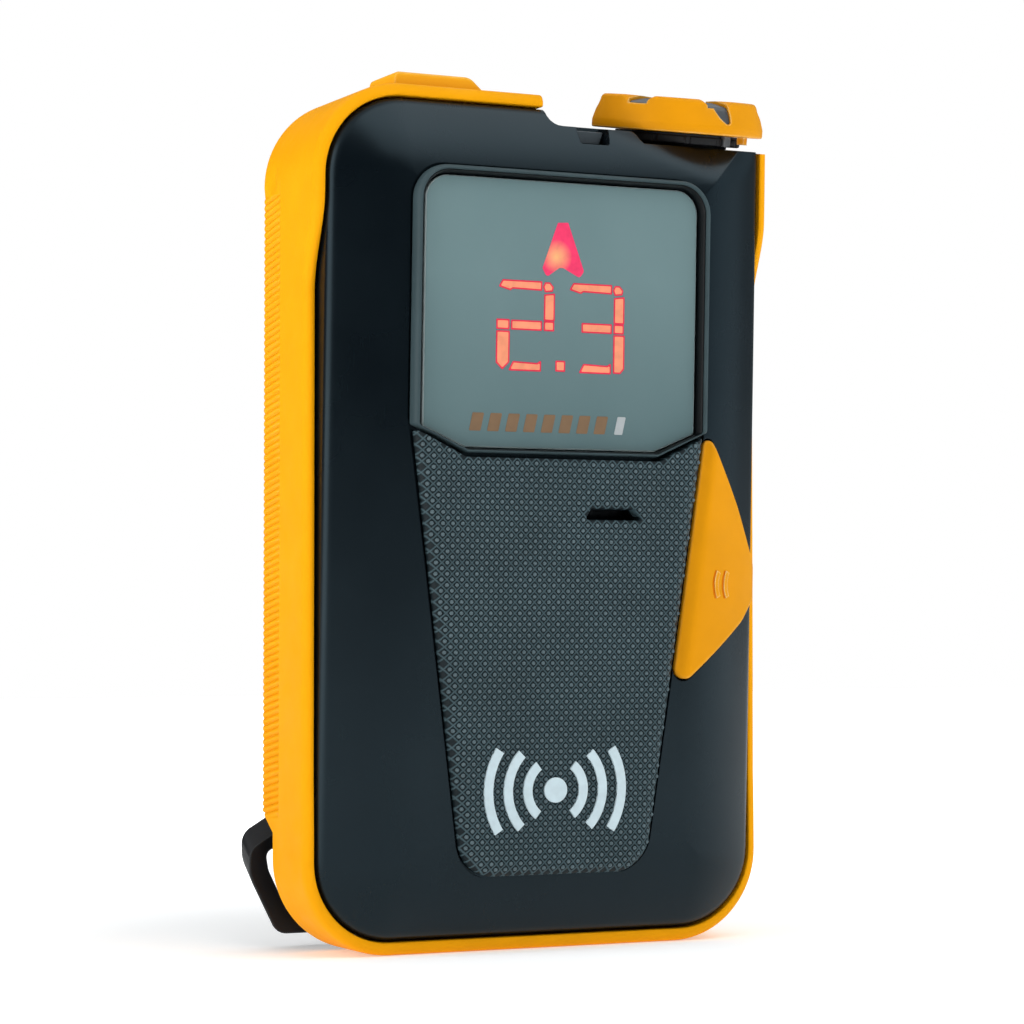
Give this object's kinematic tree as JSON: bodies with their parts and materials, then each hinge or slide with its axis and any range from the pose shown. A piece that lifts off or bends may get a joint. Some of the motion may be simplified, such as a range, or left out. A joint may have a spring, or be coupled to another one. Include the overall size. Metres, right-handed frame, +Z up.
{
  "type": "avalanche transceiver",
  "caption": "Hand-held avalanche transceiver with domed housing, rubber bumper, recessed screen, rotary mode dial, sprung buttons, leash lug and hinged battery door.",
  "frame": {"origin": "centre of the flat bottom of the rubber bumper, on which the part stands", "axes": "+Z up along the body, -Y out of the screen, +X to the user's right"},
  "size_m": [0.0745, 0.0295, 0.1242],
  "materials": {
    "housing": "satin moulded black with a soft sheen",
    "bumper": "fine matte grain",
    "control": "fine spark-eroded grain",
    "grip": "matte with raised dots",
    "lens": "smoked, satin front",
    "lamp": "frosted",
    "seal": "matte black",
    "inner_plastic": "matte black",
    "inlay": "satin dark grey",
    "display": "matte",
    "board": "green solder mask",
    "steel": "bright zinc",
    "brass": "machined",
    "winding": "enamelled copper wire",
    "ferrite": "sintered grey",
    "cell": "printed steel jacket"
  },
  "bodies": {
    "housing": {"antenna_holder": "inner_plastic", "antenna_long_coil": "winding", "antenna_long_core": "ferrite", "antenna_short_coil": "winding", "antenna_short_core": "ferrite", "antenna_upright_coil": "winding", "antenna_upright_core": "ferrite", "battery_1": "cell", "battery_2": "cell", "battery_3": "cell", "battery_contact_lower": "steel", "battery_contact_upper": "steel", "battery_cradle": "inner_plastic", "battery_spring_1": "steel", "battery_spring_2": "steel", "battery_spring_3": "steel", "board_screw_1": "steel", "board_screw_2": "steel", "case_screw_1": "steel", "case_screw_2": "steel", "case_screw_3": "steel", "case_screw_4": "steel", "detent_spring": "steel", "display_lens": "lens", "display_mask": "inner_plastic", "display_module": "display", "door_hinge_pin": "steel", "front_shell": "housing", "grip_pad": "grip", "lanyard_lug": "inner_plastic", "lens_gasket": "seal", "lock_spring": "steel", "main_board": "board", "option_switch": "inner_plastic", "processor_chip": "inner_plastic", "radio_chip": "inner_plastic", "rear_shell": "housing", "screen_bezel": "grip", "shell_seal": "seal", "side_bumper": "bumper", "speaker": "inner_plastic", "speaker_gasket": "seal", "speaker_mesh": "steel", "status_lamp_window": "lamp"},
    "mode_dial": {"dial_clip": "steel", "dial_detent_wheel": "brass", "dial_magnet": "steel", "dial_o_ring": "seal", "mode_dial_cap": "control", "mode_dial_inlay": "inlay", "mode_dial_shaft": "inner_plastic", "mode_dial_skirt": "inner_plastic"},
    "option_button": {"option_button": "control"},
    "lock_button": {"lock_button": "control", "lock_clip": "steel", "lock_bar": "inner_plastic"},
    "battery_door": {"battery_door": "housing", "door_seal": "seal"},
    "door_screw": {"door_screw": "steel"}
  },
  "joints": [
    {"name": "mode_dial_turn", "type": "hinge", "parent": "housing", "child": "mode_dial", "pos_m": [0.0248, -0.002, 0.1175], "axis": [0, -0.1736, 0.9848], "range_deg": [0, 120]},
    {"name": "option_press", "type": "slide", "parent": "housing", "child": "option_button", "axis": [0, 1, 0], "range_m": [0, 0.0007], "stiffness_N_per_m": 2500, "springref_m": -0.0003},
    {"name": "lock_press", "type": "slide", "parent": "housing", "child": "lock_button", "axis": [0, 0, -1], "range_m": [0, 0.0008], "stiffness_N_per_m": 2000, "springref_m": -0.0005, "deforming": ["lock_spring"]},
    {"name": "battery_door_swing", "type": "hinge", "parent": "housing", "child": "battery_door", "pos_m": [0, 0.012, 0.064], "axis": [1, 0, 0], "range_deg": [0, 100]},
    {"name": "door_screw_turn", "type": "hinge", "parent": "battery_door", "child": "door_screw", "pos_m": [0, 0.0135, 0.009], "axis": [0, 1, 0], "range_deg": [0, 90]}
  ]
}
